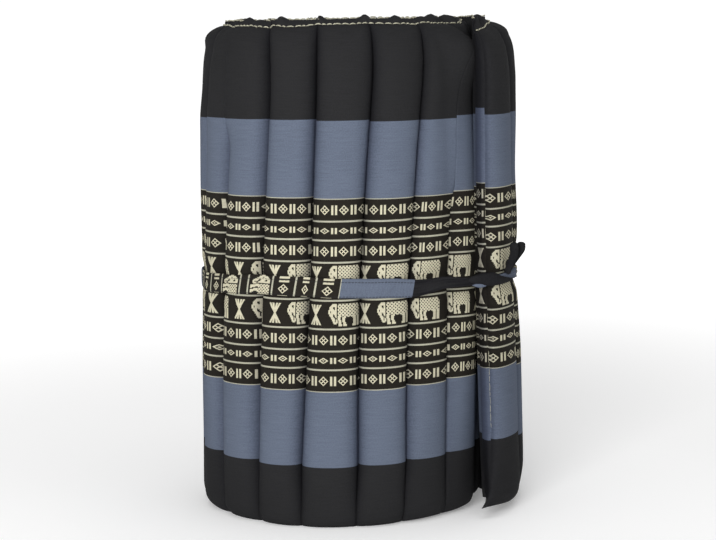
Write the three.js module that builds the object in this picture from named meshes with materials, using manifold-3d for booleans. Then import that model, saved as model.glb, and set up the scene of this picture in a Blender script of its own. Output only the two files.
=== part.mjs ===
// A kapok-filled Thai mattress, rolled up and standing on one long edge, with a cloth strap tied round it.
// Units are millimetres. +Z is up, the knot of the strap faces -Y, and the origin is on the floor under the
// middle of the whole object.
import * as THREE from "three";
import Module from "manifold-3d";
import { mergeVertices } from "three/addons/utils/BufferGeometryUtils.js";

// The roll is one long pad. Its middle follows a spiral that opens by WINDING_PITCH each turn, clockwise as
// seen from above. Angles are in degrees, from the front (-Y) towards the right (+X).
const WINDING_PITCH = 40;
const CORE_END_RADIUS = 14;
const FREE_END_RADIUS = 157;
const FREE_END_ANGLE = 54;

// The free end stands off the winding under it, over its last stretch. Its wall is slanted, by so many degrees
// for each millimetre from the pad's middle, over a shorter stretch.
const FREE_END_LIFT = 2.5;
const LIFT_STRETCH = 45;
const FREE_END_SLANT = 0.2;
const SLANT_STRETCH = 24;

// Where the roll's axis stands, from the middle of the whole object.
const AXIS_X = -10.8;
const AXIS_Y = -10.5;

// Heights above the floor, along the pad's width.
const RIM_HEIGHT = 500;
const MIDDLE_HEIGHT = 250;
const LEAN_HEIGHT = 190;
const FLARE = 0.018;

// The free end is a little shorter than the rest. It stays put at FREE_END_LEVEL and draws in from there.
const FREE_END_SHORTENING = 7;
const FREE_END_LEVEL = 407;

// Seams across the pad that show from the front: the angle of each at MIDDLE_HEIGHT, how far it leans to
// the right over the next LEAN_HEIGHT up, and how far it bows to the right at both ends of that stretch.
const FRONT_SEAMS = [
  { angle: -66.5, lean: 5.8, bow: 3.0 },
  { angle: -40.2, lean: 4.4, bow: 1.2 },
  { angle: -18.2, lean: 4.6, bow: -0.4 },
  { angle: 4.2, lean: 4.8, bow: 2.1 },
  { angle: 26.3, lean: 6.1, bow: 2.5 },
  { angle: 50.9, lean: 6.8, bow: 1.0 },
];
const LAST_SEAM = { angle: 73, lean: -1, bow: 0, crease: 12 };
const FREE_END = { lean: 0.1, bow: 1.3, crease: 10 };
const CORE_END = { lean: 5, bow: 0, crease: 10 };
const COVERED_CHANNELS = 20;
const OUTER_CHANNELS = 11;

// Half thicknesses of the pad, from its middle to the top of a channel or the bottom of a seam.
const FREE_CREST = 22.5;
const PRESSED_CREST = 19.3;
const CORE_CREST = 27;
const CREASE = 3;

// The core: how far the pad keeps from the axis, and the turns from its end over which it flattens.
const CORE_GAP = 3.5;
const CORE_ROUND_TURNS = 0.65;
const CORE_FLAT_TURNS = 0.87;

// The winding before the free end is bared over this stretch, in degrees before and after the free end.
const BARED_BEFORE = 14;
const BARED_AFTER = 10;

// The curve of a channel across its width. A higher power is a flatter top with steeper sides.
const FREE_POWER = 2.7;
const PRESSED_POWER = 5;
const SIDE_POWER = 1 / 2.2;

// The stitched rims of the black wall, from the middle of the pad, and how far the seams draw them in.
const FREE_RIM = -3.5;
const PRESSED_RIM = 6;
const INNER_RIM = 17;
const INNER_RIM_STEP = 2;
const RIM_SCALLOP = 2;

// The walls across the two ends of the pad: how far each domes out, and how thick it is there.
const FREE_WALL_DOME = 5;
const CORE_WALL_DOME = 2.8;
const WALL_DOME_FULLNESS = 0.55;

// The strap: a flat band drawn tight round the roll, gathered where it meets its knot.
const STRAP_HEIGHT = 240;
const STRAP_WIDTH = 20;
const STRAP_THICKNESS = 2;
const STRAP_CLEARANCE = 0.35;
const KNOT_ANGLE = 54;
const GATHER_LENGTH = 62;
const GATHERED_WIDTH = 8;
const GATHERED_THICKNESS = 4;
const KNOT_LIFT = 1.5;
const KNOT_SIDES = 12;
const LOBE_SIDES = 10;

// The knot lies on the band. along is measured from KNOT_ANGLE towards the free end's back.
const KNOT_SECTIONS = [
  { along: -30, height: 6, depth: 4 },
  { along: -22, height: 11, depth: 7 },
  { along: -8, height: 14.5, depth: 11 },
  { along: 8, height: 14, depth: 12 },
  { along: 20, height: 10.5, depth: 10 },
  { along: 30, height: 6, depth: 5 },
];

// The loop is doubled cloth that stands up from the knot and splays into two rounded lobes.
// along and out are measured as for the knot, and up from STRAP_HEIGHT.
const LOOP_LOBES = [
  [
    { along: 17, out: 6, up: 2, radius: 4 },
    { along: 18, out: 7, up: 12, radius: 4.2 },
    { along: 17, out: 9, up: 24, radius: 4.6 },
    { along: 17, out: 11, up: 32, radius: 4.4 },
    { along: 17, out: 12, up: 37, radius: 2.4 },
  ],
  [
    { along: 19, out: 7, up: 2, radius: 4 },
    { along: 21, out: 9, up: 12, radius: 4.2 },
    { along: 23, out: 14, up: 24, radius: 4.6 },
    { along: 24, out: 18, up: 33, radius: 4.4 },
    { along: 24, out: 20, up: 38, radius: 2.4 },
  ],
];

// Sections of the pad from the floor up. free and pressed are how full the bare and the covered faces are
// there, and draw is how far the end wall has closed from its rims to its middle.
const LEVELS = [
  { z: 0, free: 0.66, pressed: 0.7, draw: 0 },
  { z: 6, free: 0.89, pressed: 0.9, draw: 0 },
  { z: 26, free: 1, pressed: 1, draw: 0 },
  { z: STRAP_HEIGHT - 20, free: 1, pressed: 1, draw: 0 },
  { z: STRAP_HEIGHT, free: 0.91, pressed: 1, draw: 0 },
  { z: STRAP_HEIGHT + 20, free: 1, pressed: 1, draw: 0 },
  { z: 440, free: 1, pressed: 1, draw: 0 },
  { z: 470, free: 0.84, pressed: 0.98, draw: 0 },
  { z: 488, free: 0.56, pressed: 0.86, draw: 0 },
  { z: 496, free: 0.32, pressed: 0.62, draw: 0 },
  { z: RIM_HEIGHT, free: 0, pressed: 0.2, draw: 0 },
  { z: RIM_HEIGHT + 4.5, free: 0, pressed: 0.2, draw: 0.35 },
  { z: RIM_HEIGHT + 6.5, free: 0, pressed: 0.2, draw: 0.75 },
];

// How finely a channel is stepped across its bare and its covered face, and the strap round the roll, where
// steps nearer each other than the least are left out. Steps are in degrees.
const BARE_STEPS = 7;
const COVERED_STEPS = 4;
const LARGEST_STEP = 16;
const BAND_STEP = 4;
const LEAST_BAND_STEP = 0.1;

const radians = THREE.MathUtils.degToRad;
const lerp = THREE.MathUtils.lerp;
const smooth = THREE.MathUtils.smoothstep;
const TURN = 2 * Math.PI;
const SPIRAL_STEP = WINDING_PITCH / TURN;

// phi is the angle wound so far, from 0 at the core end to PHI_END at the free end.
const PHI_END = (FREE_END_RADIUS - CORE_END_RADIUS) / SPIRAL_STEP;

// 0 on the rest of the pad, rising to 1 at the free end over its last stretch.
function nearEnd(phi, stretch) {
  return smooth(phi, PHI_END - radians(stretch), PHI_END);
}

function middleRadius(phi) {
  return CORE_END_RADIUS + SPIRAL_STEP * phi + FREE_END_LIFT * nearEnd(phi, LIFT_STRETCH);
}

function phiAtAngle(degrees, turnsIn) {
  return PHI_END - radians(degrees - FREE_END_ANGLE) - turnsIn * TURN;
}

// Seams that part the stretch between two seams into channels of equal length.
function equalSeams(first, last, channels) {
  const squareA = (CORE_END_RADIUS + SPIRAL_STEP * first.phi) ** 2;
  const squareB = (CORE_END_RADIUS + SPIRAL_STEP * last.phi) ** 2;
  const seams = [];
  for (let i = 1; i < channels; i++) {
    const share = i / channels;
    const radius = Math.sqrt(lerp(squareA, squareB, share));
    seams.push({
      phi: (radius - CORE_END_RADIUS) / SPIRAL_STEP,
      lean: lerp(first.lean, last.lean, share),
      bow: lerp(first.bow, last.bow, share),
      crease: CREASE,
    });
  }
  return seams;
}

function padSeams() {
  const start = { ...CORE_END, phi: 0 };
  const front = FRONT_SEAMS.map(seam => ({ ...seam, phi: phiAtAngle(seam.angle, 1), crease: CREASE })).reverse();
  const last = { ...LAST_SEAM, phi: phiAtAngle(LAST_SEAM.angle, 0) };
  const end = { ...FREE_END, phi: PHI_END };
  return [
    start,
    ...equalSeams(start, front[0], COVERED_CHANNELS),
    ...front,
    ...equalSeams(front[front.length - 1], last, OUTER_CHANNELS),
    last,
    end,
  ];
}

// 1 where nothing lies over the winding, 0 where the next one covers it.
function bareness(phi) {
  const covered = PHI_END - TURN;
  return smooth(phi, covered - radians(BARED_BEFORE), covered + radians(BARED_AFTER));
}

// The rise of a channel, from 0 at one seam (share 0) through 1 to 0 at the next (share 1).
function bulge(share, power) {
  return Math.pow(1 - Math.pow(Math.abs(2 * share - 1), power), SIDE_POWER);
}

function outerOffset(point, level) {
  const bare = bareness(point.phi);
  const rise = bulge(point.share, lerp(PRESSED_POWER, FREE_POWER, bare));
  const full = lerp(point.crease, lerp(PRESSED_CREST, FREE_CREST, bare), rise);
  const rim = lerp(PRESSED_RIM, FREE_RIM, bare) - RIM_SCALLOP * (1 - rise);
  return lerp(rim, full, lerp(level.pressed, level.free, bare));
}

function innerOffset(point, level) {
  const inCore = 1 - smooth(point.phi, CORE_ROUND_TURNS * TURN, CORE_FLAT_TURNS * TURN);
  const rise = bulge(point.share, lerp(PRESSED_POWER, FREE_POWER, inCore));
  const room = middleRadius(point.phi) - CORE_GAP;
  const crest = Math.min(lerp(PRESSED_CREST, CORE_CREST, inCore), room);
  const full = lerp(Math.min(point.crease, room), crest, rise);
  const rim = Math.min(INNER_RIM, crest) - RIM_SCALLOP * (1 - rise);
  return -lerp(Math.min(rim, full + INNER_RIM_STEP), full, level.pressed);
}

// One upright line of points on each face of the pad.
function padStation(point) {
  const station = { outer: [], inner: [] };
  for (const level of LEVELS) {
    const outer = outerOffset(point, level) * point.fullness;
    const inner = innerOffset(point, level) * point.fullness;
    const wallMiddle = (outer + inner) / 2;
    const rise = (level.z - MIDDLE_HEIGHT) / LEAN_HEIGHT;
    const turned = point.phi - radians(point.lean * rise + point.bow * rise ** 2);
    const flare = 1 + FLARE * (MIDDLE_HEIGHT - level.z) / MIDDLE_HEIGHT;
    const ending = nearEnd(point.phi, SLANT_STRETCH);
    const shorter = ending * FREE_END_SHORTENING * (1 - level.z / FREE_END_LEVEL);
    const seamDip = level.z >= RIM_HEIGHT ? RIM_SCALLOP * (1 - bulge(point.share, FREE_POWER)) : 0;
    for (const [side, offset] of [["outer", outer], ["inner", inner]]) {
      const fromMiddle = lerp(offset, wallMiddle, level.draw);
      const radius = (middleRadius(turned) + fromMiddle) * flare;
      const angle = radians(FREE_END_ANGLE - ending * FREE_END_SLANT * fromMiddle) + PHI_END - turned;
      station[side].push(new THREE.Vector3(
        AXIS_X + radius * Math.sin(angle),
        AXIS_Y - radius * Math.cos(angle),
        level.z + shorter - seamDip,
      ));
    }
  }
  return station;
}

// Points across every channel in turn, closer together near the seams, where the surface turns fastest.
function padStations() {
  const seams = padSeams();
  const stations = [];
  const coreWall = { ...seams[0], share: 0, fullness: 1 };
  const freeWall = { ...seams[seams.length - 1], share: 1, fullness: 1 };
  const domed = (wall, turn) => ({ ...wall, phi: wall.phi + turn, fullness: WALL_DOME_FULLNESS });
  stations.push(padStation(domed(coreWall, -CORE_WALL_DOME / CORE_END_RADIUS)));
  for (let channel = 0; channel < seams.length - 1; channel++) {
    const [a, b] = [seams[channel], seams[channel + 1]];
    const steps = Math.max(
      bareness(b.phi) > 0 ? BARE_STEPS : COVERED_STEPS,
      Math.ceil((b.phi - a.phi) / radians(LARGEST_STEP)),
    );
    for (let i = 0; i < steps; i++) {
      const share = 0.5 - 0.5 * Math.cos(Math.PI * i / steps);
      stations.push(padStation({
        phi: lerp(a.phi, b.phi, share),
        lean: lerp(a.lean, b.lean, share),
        bow: lerp(a.bow, b.bow, share),
        crease: lerp(a.crease, b.crease, share),
        share,
        fullness: 1,
      }));
    }
  }
  stations.push(padStation(freeWall));
  stations.push(padStation(domed(freeWall, FREE_WALL_DOME / FREE_END_RADIUS)));
  return stations;
}

// A closed body from loops of points, one after another. caps lists the triangles that close each end.
function loft(loops, caps) {
  const size = loops[0].length;
  const index = [];
  for (let k = 0; k < loops.length - 1; k++) {
    for (let j = 0; j < size; j++) {
      const a = k * size + j;
      const b = k * size + ((j + 1) % size);
      index.push(a, b, b + size, a, b + size, a + size);
    }
  }
  const top = (loops.length - 1) * size;
  for (const [a, b, c] of caps) {
    index.push(c, b, a, top + a, top + b, top + c);
  }
  const geometry = new THREE.BufferGeometry().setFromPoints(loops.flat());
  geometry.setIndex(index);
  return geometry;
}

// Closes a long narrow loop: out along one side and back along the other, rung by rung.
function ladderCaps(size) {
  const caps = [];
  for (let a = 0, b = size - 1; a + 1 < b; a++, b--) {
    caps.push([a, a + 1, b]);
    if (a + 1 < b - 1) caps.push([a + 1, b - 1, b]);
  }
  return caps;
}

function mattressRoll(stations) {
  const loops = LEVELS.map((level, k) => [
    ...stations.map(station => station.inner[k]),
    ...stations.map(station => station.outer[k]).reverse(),
  ]);
  return loft(loops, ladderCaps(loops[0].length));
}

// The tight line round the roll between two heights: the convex outline of its section, as angle and radius.
function outlineRoundRoll(stations, low, high) {
  const points = [];
  for (const { outer } of stations) {
    for (const z of [low, high]) {
      const k = LEVELS.findIndex(level => level.z > z) - 1;
      const share = (z - LEVELS[k].z) / (LEVELS[k + 1].z - LEVELS[k].z);
      const point = outer[k].clone().lerp(outer[k + 1], share);
      points.push({ x: point.x - AXIS_X, y: point.y - AXIS_Y });
    }
  }
  points.sort((a, b) => a.x - b.x || a.y - b.y);
  const turn = (o, a, b) => (a.x - o.x) * (b.y - o.y) - (a.y - o.y) * (b.x - o.x);
  const halfOutline = ordered => {
    const chain = [];
    for (const point of ordered) {
      while (chain.length > 1 && turn(chain[chain.length - 2], chain[chain.length - 1], point) <= 0) chain.pop();
      chain.push(point);
    }
    return chain.slice(0, -1);
  };
  const outline = [...halfOutline(points), ...halfOutline(points.reverse())];
  return outline
    .map(({ x, y }) => ({ angle: Math.atan2(x, -y), radius: Math.hypot(x, y) }))
    .sort((a, b) => a.angle - b.angle);
}

function radiusAt(outline, angle) {
  const wrapped = Math.atan2(Math.sin(angle), Math.cos(angle));
  const after = outline.findIndex(point => point.angle > wrapped);
  const b = outline[after === -1 ? 0 : after];
  const a = outline[after <= 0 ? outline.length - 1 : after - 1];
  const [ax, ay] = [a.radius * Math.sin(a.angle), a.radius * Math.cos(a.angle)];
  const [bx, by] = [b.radius * Math.sin(b.angle), b.radius * Math.cos(b.angle)];
  const [dx, dy] = [Math.sin(wrapped), Math.cos(wrapped)];
  return (ax * by - ay * bx) / (dx * (by - ay) - dy * (bx - ax));
}

function onRoll(radius, angle, z) {
  return new THREE.Vector3(AXIS_X + radius * Math.sin(angle), AXIS_Y - radius * Math.cos(angle), z);
}

// Turns from the knot at which the band bends: every corner of the outline, and steps between them.
function bandTurns(outline) {
  const knot = radians(KNOT_ANGLE);
  const step = radians(BAND_STEP);
  const least = radians(LEAST_BAND_STEP);
  const corners = outline.map(({ angle }) => (angle - knot + 2 * TURN) % TURN);
  const turns = [0, TURN, ...corners.filter(turn => turn > least && turn < TURN - least)];
  for (let turn = step; turn < TURN - step / 2; turn += step) {
    if (corners.every(corner => Math.abs(corner - turn) > step / 2)) turns.push(turn);
  }
  return turns.sort((a, b) => a - b);
}

// The band, from the right of the knot round the back, the left and the front, up to the knot again.
function strapBand(outline) {
  const loops = bandTurns(outline).map(turn => {
    const angle = radians(KNOT_ANGLE) + turn;
    const radius = radiusAt(outline, angle) + STRAP_CLEARANCE;
    const spread = smooth(Math.min(turn, TURN - turn) * radius, 0, GATHER_LENGTH);
    const half = lerp(GATHERED_WIDTH, STRAP_WIDTH, spread) / 2;
    const thickness = lerp(GATHERED_THICKNESS, STRAP_THICKNESS, spread);
    return [
      onRoll(radius, angle, STRAP_HEIGHT - half),
      onRoll(radius, angle, STRAP_HEIGHT + half),
      onRoll(radius + thickness, angle, STRAP_HEIGHT + half),
      onRoll(radius + thickness, angle, STRAP_HEIGHT - half),
    ];
  });
  return loft(loops, [[0, 1, 2], [0, 2, 3]]);
}

function fanCaps(size) {
  return Array.from({ length: size - 2 }, (_, i) => [0, i + 1, i + 2]);
}

function angleAlong(outline, along) {
  return radians(KNOT_ANGLE) + along / radiusAt(outline, radians(KNOT_ANGLE));
}

function strapKnot(outline) {
  const loops = KNOT_SECTIONS.map(({ along, height, depth }) => {
    const angle = angleAlong(outline, along);
    const floor = radiusAt(outline, angle) + STRAP_CLEARANCE + KNOT_LIFT;
    return Array.from({ length: KNOT_SIDES }, (_, i) => {
      const round = TURN * i / KNOT_SIDES;
      const radius = floor + depth / 2 * (1 - Math.cos(round));
      return onRoll(radius, angle, STRAP_HEIGHT + height / 2 * Math.sin(round));
    });
  });
  return loft(loops, fanCaps(KNOT_SIDES));
}

function loopLobe(outline, lobe) {
  const loops = lobe.map(({ along, out, up, radius }) => {
    const angle = angleAlong(outline, along);
    const centre = onRoll(radiusAt(outline, angle) + out, angle, STRAP_HEIGHT + up);
    return Array.from({ length: LOBE_SIDES }, (_, i) => {
      const round = TURN * i / LOBE_SIDES;
      return centre.clone().add(new THREE.Vector3(radius * Math.cos(round), radius * Math.sin(round), 0));
    });
  });
  return loft(loops, fanCaps(LOBE_SIDES));
}

const manifold = await Module();
manifold.setup();

function fused(geometries) {
  const solids = geometries.map(geometry => {
    const merged = mergeVertices(geometry, 1e-3);
    return new manifold.Manifold(new manifold.Mesh({
      numProp: 3,
      vertProperties: new Float32Array(merged.attributes.position.array),
      triVerts: new Uint32Array(merged.index.array),
    }));
  });
  const mesh = solids.reduce((whole, solid) => whole.add(solid)).getMesh();
  const geometry = new THREE.BufferGeometry();
  geometry.setAttribute("position", new THREE.BufferAttribute(mesh.vertProperties, 3));
  geometry.setIndex(new THREE.BufferAttribute(mesh.triVerts, 1));
  return geometry;
}

function tieStrap(outline) {
  const lobes = LOOP_LOBES.map(lobe => loopLobe(outline, lobe));
  return fused([strapBand(outline), strapKnot(outline), ...lobes]);
}

function fabric(color) {
  return new THREE.MeshStandardMaterial({ color, roughness: 0.9, metalness: 0 });
}

function named(name, geometry, material) {
  const mesh = new THREE.Mesh(geometry, material);
  mesh.name = name;
  return mesh;
}

const stations = padStations();
const outline = outlineRoundRoll(stations, STRAP_HEIGHT - STRAP_WIDTH / 2, STRAP_HEIGHT + STRAP_WIDTH / 2);
const mattress = new THREE.Group();
mattress.add(named("mattress_roll", mattressRoll(stations), fabric(0x5f6b80)));
mattress.add(named("tie_strap", tieStrap(outline), fabric(0x26262a)));

export default mattress;
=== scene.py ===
import bisect
import math
import random
from collections import namedtuple
from functools import cache, reduce

import bpy
from mathutils import Matrix, Vector, noise
from mathutils.geometry import convex_hull_2d


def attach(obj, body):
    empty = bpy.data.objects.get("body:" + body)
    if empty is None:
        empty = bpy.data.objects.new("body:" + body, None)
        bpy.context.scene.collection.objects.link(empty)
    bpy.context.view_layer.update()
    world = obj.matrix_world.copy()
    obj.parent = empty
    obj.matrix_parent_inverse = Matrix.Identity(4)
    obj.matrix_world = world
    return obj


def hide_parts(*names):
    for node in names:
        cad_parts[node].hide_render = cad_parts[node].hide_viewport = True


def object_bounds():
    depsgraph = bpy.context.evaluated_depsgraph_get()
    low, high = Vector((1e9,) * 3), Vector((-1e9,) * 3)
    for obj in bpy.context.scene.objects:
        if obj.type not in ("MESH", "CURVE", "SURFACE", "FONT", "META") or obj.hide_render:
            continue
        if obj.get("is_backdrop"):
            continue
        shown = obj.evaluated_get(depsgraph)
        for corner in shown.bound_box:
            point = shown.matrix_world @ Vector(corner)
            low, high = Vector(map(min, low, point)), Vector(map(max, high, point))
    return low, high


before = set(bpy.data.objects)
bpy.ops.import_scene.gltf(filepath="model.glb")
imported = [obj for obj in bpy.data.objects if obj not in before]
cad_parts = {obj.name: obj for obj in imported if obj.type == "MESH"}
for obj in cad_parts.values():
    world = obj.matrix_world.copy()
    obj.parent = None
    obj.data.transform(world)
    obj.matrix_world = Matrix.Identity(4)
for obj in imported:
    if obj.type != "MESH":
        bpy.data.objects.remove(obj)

cad_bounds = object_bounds()

# The roll is one long pad. Its middle follows a spiral that opens by WINDING_PITCH each turn.
WINDING_PITCH = 0.040
CORE_END_RADIUS = 0.014
FREE_END_RADIUS = 0.157
FREE_END_ANGLE = 54
FREE_END_LIFT = 0.0025
LIFT_STRETCH = 45
FREE_END_SLANT = 200
SLANT_STRETCH = 24
AXIS_X = -0.0108
AXIS_Y = -0.0105

# Heights above the floor, along the pad's width.
RIM_HEIGHT = 0.500
MIDDLE_HEIGHT = 0.250
LEAN_HEIGHT = 0.190
FLARE = 0.018
SHOULDER_HEIGHT = 0.440
FOOT_HEIGHT = 0.026
FREE_END_SHORTENING = 0.007
FREE_END_LEVEL = 0.407

# Seams across the pad that show from the front: the angle of each at MIDDLE_HEIGHT, how far it leans to
# the right over the next LEAN_HEIGHT up, how far it bows to the right at both ends of that stretch, how far
# it comes back to the left over the shoulder and goes to the right at the foot, the half thickness of the pad
# in its crease, and for a crease that fills out, how much of it does and between which heights.
Seam = namedtuple("Seam", "angle lean bow back foot crease filled fill_from fill_to", defaults=(0, 0, 1))
FRONT_SEAMS = [
    Seam(-62.5, 5.8, 3.0, 12.0, 3.0, 0.004, 0.95, 0.365, 0.415),
    Seam(-39.5, 4.6, 1.2, 6.5, 1.8, 0.003),
    Seam(-17.4, 4.8, -0.4, 1.5, 2.4, 0.004),
    Seam(4.7, 4.7, 2.1, 2.8, -1.5, 0.005),
    Seam(26.9, 6.1, 2.5, 0.0, -2.4, 0.007),
    Seam(47.4, 4.0, 0.2, -16.0, -1.0, 0.012, 0.90, 0.295, 0.350),
]
LAST_SEAM = Seam(76, -1, 0, 0, 0, 0.012)
BACK_FROM_HEIGHT = 0.410
BACK_POWER = 2.6
FREE_END_LEAN = 0.1
FREE_END_BOW = 1.3
CORE_END_LEAN = 5
END_CREASE = 0.010
COVERED_CHANNELS = 20
OUTER_CHANNELS = 11

# Half thicknesses of the pad, from its middle to the top of a channel or the bottom of a seam.
FREE_CREST = 0.0225
PRESSED_CREST = 0.0193
CORE_CREST = 0.027
CREASE = 0.003
CORE_GAP = 0.0035
CORE_ROUND_TURNS = 0.65
CORE_FLAT_TURNS = 0.87
FOOT_FILL = 0.6
FOOT_FILL_HEIGHT = 0.075
BARED_BEFORE = 14
BARED_AFTER = 10
FREE_POWER = 2.35
PRESSED_POWER = 5
SIDE_POWER = 1 / 2.2

# How channels are drawn in at the foot, under the strap and over the shoulder: shares of their thickness
# that are lost there, and the powers that shape the curves.
FOOT_POWER = 4.3
FREE_FOOT_LOSS = 0.34
PRESSED_FOOT_LOSS = 0.3
STRAP_LOSS = 0.09
STRAP_LOSS_WITHIN = 0.3
FREE_SHOULDER_POWER = 1.9
PRESSED_SHOULDER_POWER = 4.5
PRESSED_SHOULDER_LEFT = 0.2

# Small gathers beside the seams, and how unevenly the channels are filled.
PUCKER_LENGTH = 0.011
PUCKER_DEPTH = 0.0011
FILLING_LENGTH = 0.07
FILLING_DEPTH = 0.0010

# Where the cloth stands further out or is drawn in: how far behind the free end, round the pad, and how far
# that reaches towards the free end and away from it, all in degrees, the height and how far it reaches up and
# down, and how far out.
Bulge = namedtuple("Bulge", "behind reach past height spread out")
BULGE_FADE = 1.5
BULGES = [
    Bulge(31, 34, 34, 0.240, 0.090, -0.0025),
    Bulge(31, 34, 34, 0.246, 0.035, -0.0030),
    Bulge(221, 42, 42, 0.050, 0.360, 0.0034),
    Bulge(216, 36, 36, 0.446, 0.046, -0.0034),
    Bulge(216, 36, 36, 0.496, 0.022, 0.0078),
    Bulge(286, 30, 30, 0.000, 0.020, 0.0030),
    Bulge(36, 30, 40, 0.488, 0.040, 0.0042),
    Bulge(36, 30, 40, 0.496, 0.012, 0.0060),
    Bulge(36, 30, 30, 0.345, 0.070, -0.0022),
    Bulge(36, 30, 30, 0.000, 0.040, -0.0055),
    Bulge(366, 16, 7, 0.300, 0.420, 0.0122),
    Bulge(366, 16, 7, 0.474, 0.055, 0.0115),
]

# The free end is drawn back a little, its wall's lower edge is pulled up at the inner side, as is the foot
# of the winding at places behind the free end, and its lowest corner sticks out.
END_PULL = 1.7
PULL_STRETCH = 16
Raise = namedtuple("Raise", "behind reach up")
FOOT_RAISES = [Raise(15, 30, 0.0035), Raise(345, 40, 0.0026), Raise(388, 42, 0.0105)]
END_RAISE = 0.0155
END_RAISE_SLOPE = 0.9
RAISE_HEIGHT = 0.065
CORNER_FLARE = 4.6
CORNER_FLARE_HEIGHT = 0.090
CORNER_FLARE_STRETCH = 20
EAR = 0.0100
EAR_HEIGHT = 0.018
EAR_POWER = 5
END_SQUEEZE = 0.0045

# The stitched rims of the black wall, from the middle of the pad, and the wall between them. A wobble's rate
# is for each radian along the pad.
FREE_RIM = -0.0035
PRESSED_RIM = 0.006
INNER_RIM = 0.017
INNER_RIM_STEP = 0.002
RIM_SCALLOP = 0.002
COVERED_RISE = 0.0030
BARE_RISE = 0.0012
INNER_RISE = 0.0036
INNER_WOBBLE = 0.0016
INNER_WOBBLE_RATE = 4.1
RISE_WOBBLE = 0.0016
RISE_WOBBLE_RATES = (11, 2.5)
RIM_WOBBLE = 0.0007
RIM_WOBBLE_RATE = 13
RIM_BLEND = 0.03
DOME_POWERS = (2.2, 0.6)
FREE_WALL_DOME = 0.005
CORE_WALL_DOME = 0.0028
CORNER_DOME = 0.35

# How far the outer rim lies below RIM_HEIGHT, and the gathers that stand up on the wall, at places along
# the pad: a channel's number plus the share of the way across it.
Drop = namedtuple("Drop", "place down")
RIM_DROPS = [
    Drop(19.00, 0.0020), Drop(19.80, 0.0030), Drop(20.50, 0.0025), Drop(20.93, 0.0013), Drop(21.04, 0.0031),
    Drop(21.50, 0.0017), Drop(22.00, 0.0008), Drop(22.50, 0.0011), Drop(23.00, 0.0013), Drop(23.50, 0.0031),
    Drop(23.70, 0.0028), Drop(23.94, 0.0011), Drop(24.04, 0.0035), Drop(24.50, 0.0016), Drop(25.00, 0.0017),
    Drop(25.40, 0.0030), Drop(25.80, 0.0010), Drop(35.30, 0.0010), Drop(36.00, 0.0042), Drop(36.50, 0.0076),
    Drop(37.00, 0.0086),
]
Gather = namedtuple("Gather", "place reach up")
WALL_GATHERS = [
    Gather(19.50, 0.35, 0.0062), Gather(20.35, 0.30, 0.0050), Gather(20.75, 0.14, 0.0035),
    Gather(21.40, 0.16, 0.0048), Gather(22.07, 0.17, 0.0060), Gather(22.98, 0.14, 0.0046),
    Gather(23.86, 0.18, 0.0048), Gather(24.45, 0.12, 0.0026), Gather(24.85, 0.20, 0.0046),
    Gather(25.35, 0.14, 0.0034), Gather(36.15, 0.20, 0.0040), Gather(36.70, 0.24, 0.0062),
]

# How finely the pad's mesh is cut: steps across a channel, the largest of them in degrees, steps from rim to
# rim, levels up the foot, the body and the shoulder and the powers that crowd them, and the levels that
# covered stretches keep: one in COARSE_STEP, two at the foot and all near the rims.
BARE_STEPS = 20
COVERED_STEPS = 8
LARGEST_STEP = 8
WALL_STEPS = 8
FOOT_LEVELS = 9
FOOT_LEVEL_POWER = 1.6
BODY_LEVELS = 68
SHOULDER_LEVELS = 16
SHOULDER_LEVEL_POWER = 1.7
COARSE_STEP = 12
COARSE_FOOT = (3, 6)
COARSE_TOP = 15

# How the cloth was woven, from its lower edge to its upper one: plain black, blue-grey, a patterned band
# that is the same above and below its middle, blue-grey and black again.
PATTERN_MIDDLE = 0.2347
BAND_LINES = [0.0048, 0.0328, 0.0546, 0.0732, 0.0955]
BAND_HALF = 0.0955
BLUE_HALF = 0.1711
LINE_THICKNESS = 0.0017

# How the cloth lies on each channel that shows at the front: the repeats of the elephants before it, the
# place in that repeat near its left seam, at its middle and near its right seam, and how far the cloth has
# slipped up at its upper and lower colour borders. Skew is how upright the weave stays where the seams lean:
# at 0 it leans with them, at 1 not at all. The first row is the free end's own channel. Channels that aren't
# listed lie evenly.
Lie = namedtuple("Lie", "channel repeats left middle right upper lower skew")
CHANNEL_LIES = [
    Lie(36, -5, 0.0209, 0.0370, 0.0505, 0.0012, 0.0165, 0.6),
    Lie(19, 2, 0.0305, 0.0645, 0.0985, 0.0006, 0.0021, 0.2),
    Lie(20, -4, 0.0233, 0.0443, 0.0560, -0.0021, 0.0013, 0.0),
    Lie(21, 0, 0.0079, 0.0309, 0.0488, -0.0018, -0.0003, 0.6),
    Lie(22, 0, 0.0012, 0.0237, 0.0460, 0.0, -0.0019, 0.6),
    Lie(23, 0, -0.0078, 0.0096, 0.0338, 0.0013, -0.0011, 0.6),
    Lie(24, 0, -0.0175, -0.0014, 0.0218, 0.0015, -0.0003, 0.6),
    Lie(25, 3, -0.0255, -0.0034, 0.0138, 0.0018, 0.0002, 0.6),
    Lie(35, 0, -0.0080, 0.0150, 0.0380, 0.001, 0.006, 0.6),
    Lie(34, 1, -0.0310, -0.0080, 0.0150, 0.001, 0.003, 0.6),
]
NEAR_SEAM = 0.4
CHANNEL_CLOTH = 0.057
SEAM_CLOTH = 0.013
SKEW = 0.6
EVEN_SLIP = 0.0012
FREE_WALL_SLIP = 0.008
FREE_WALL_PLACE = -0.4605
# Painted shade on the free end's wall: its amount at the inner side, how much less it is at the outer corner,
# and the power of that fall.
FREE_WALL_SHADE = (1.25, 0.85)
FREE_WALL_SHADE_POWER = 5

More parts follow.
